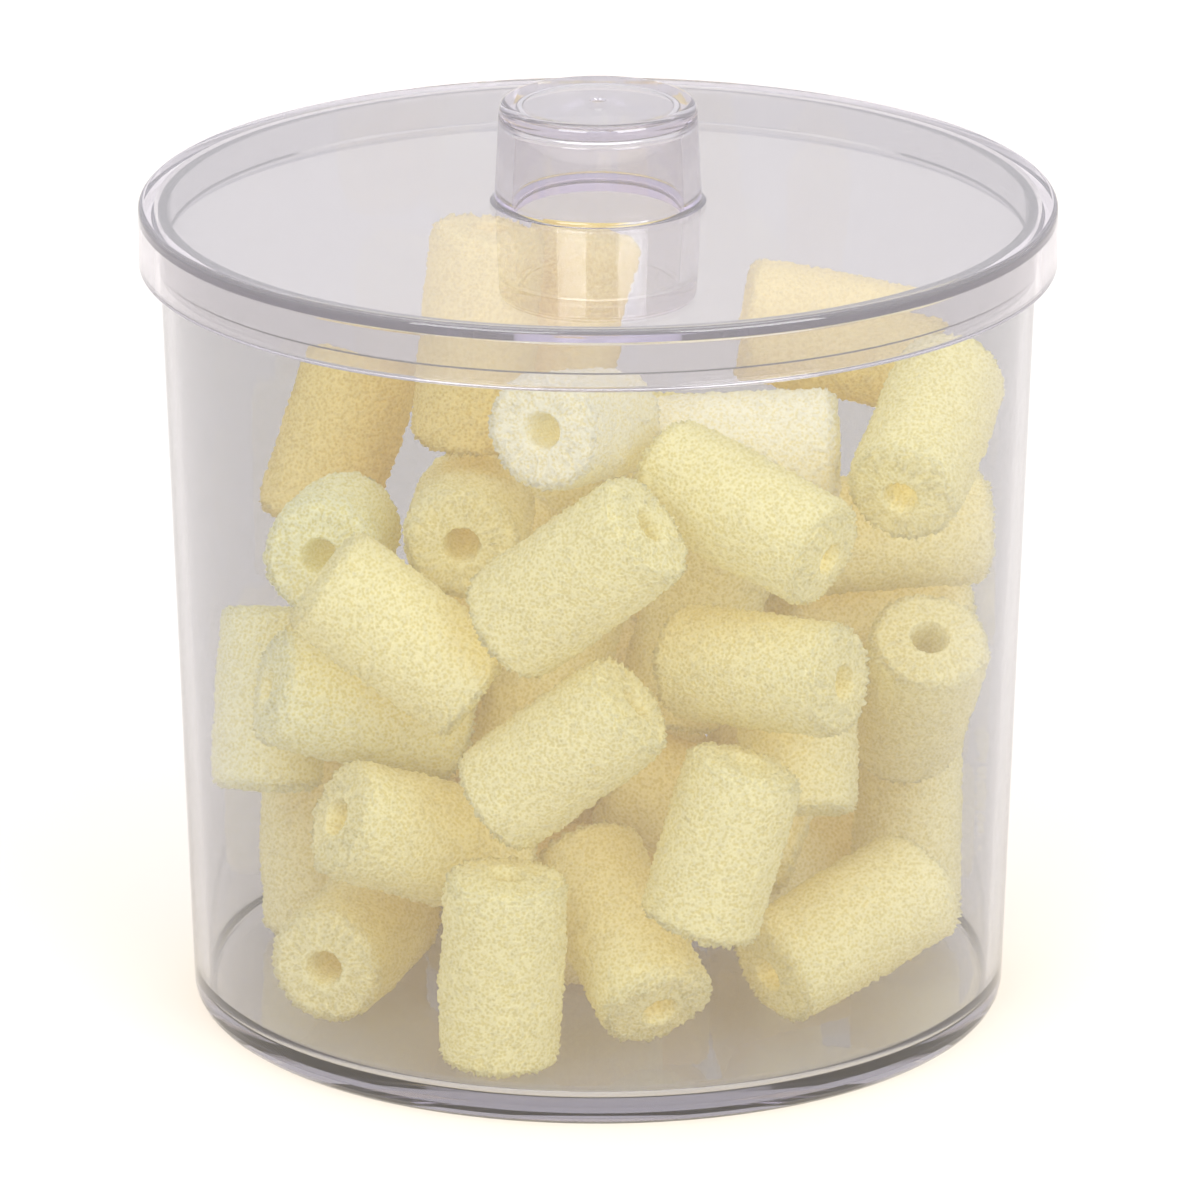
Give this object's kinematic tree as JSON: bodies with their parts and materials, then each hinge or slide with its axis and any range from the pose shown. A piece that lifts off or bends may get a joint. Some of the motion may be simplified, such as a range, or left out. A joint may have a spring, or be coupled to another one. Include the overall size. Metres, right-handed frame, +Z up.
{
  "type": "sundry jar",
  "caption": "Clear round moulded jar with a loose lift-off lid and a hollow knob, filled with short yellow foam tubes.",
  "frame": {"origin": "centre of the jar's underside, on the surface it stands on", "axes": "+Z up along the jar's axis, +X to the right and +Y to the back of the jar as it is shown"},
  "size_m": [0.108, 0.108, 0.1107],
  "materials": {
    "clear_jar": "clear polished polystyrene",
    "clear_lid": "clear polished polystyrene",
    "foam": "soft open-cell foam, matt"
  },
  "bodies": {
    "jar": {"jar_body": "clear_jar", "foam_tube_01": "foam", "foam_tube_02": "foam", "foam_tube_03": "foam", "foam_tube_04": "foam", "foam_tube_05": "foam", "foam_tube_06": "foam", "foam_tube_07": "foam", "foam_tube_08": "foam", "foam_tube_09": "foam", "foam_tube_10": "foam", "foam_tube_11": "foam", "foam_tube_12": "foam", "foam_tube_13": "foam", "foam_tube_14": "foam", "foam_tube_15": "foam", "foam_tube_16": "foam", "foam_tube_17": "foam", "foam_tube_18": "foam", "foam_tube_19": "foam", "foam_tube_20": "foam", "foam_tube_21": "foam", "foam_tube_22": "foam", "foam_tube_23": "foam", "foam_tube_24": "foam", "foam_tube_25": "foam", "foam_tube_26": "foam", "foam_tube_27": "foam", "foam_tube_28": "foam", "foam_tube_29": "foam", "foam_tube_30": "foam", "foam_tube_31": "foam", "foam_tube_32": "foam", "foam_tube_33": "foam", "foam_tube_34": "foam", "foam_tube_35": "foam", "foam_tube_36": "foam", "foam_tube_37": "foam", "foam_tube_38": "foam", "foam_tube_39": "foam", "foam_tube_40": "foam", "foam_tube_41": "foam", "foam_tube_42": "foam", "foam_tube_43": "foam", "foam_tube_44": "foam", "foam_tube_45": "foam", "foam_tube_46": "foam", "foam_tube_47": "foam", "foam_tube_48": "foam"},
    "lid": {"lid": "clear_lid"}
  },
  "joints": [
    {"name": "lid_lift", "type": "slide", "parent": "jar", "child": "lid", "axis": [0, 0, 1], "range_m": [0, 0.06]}
  ]
}
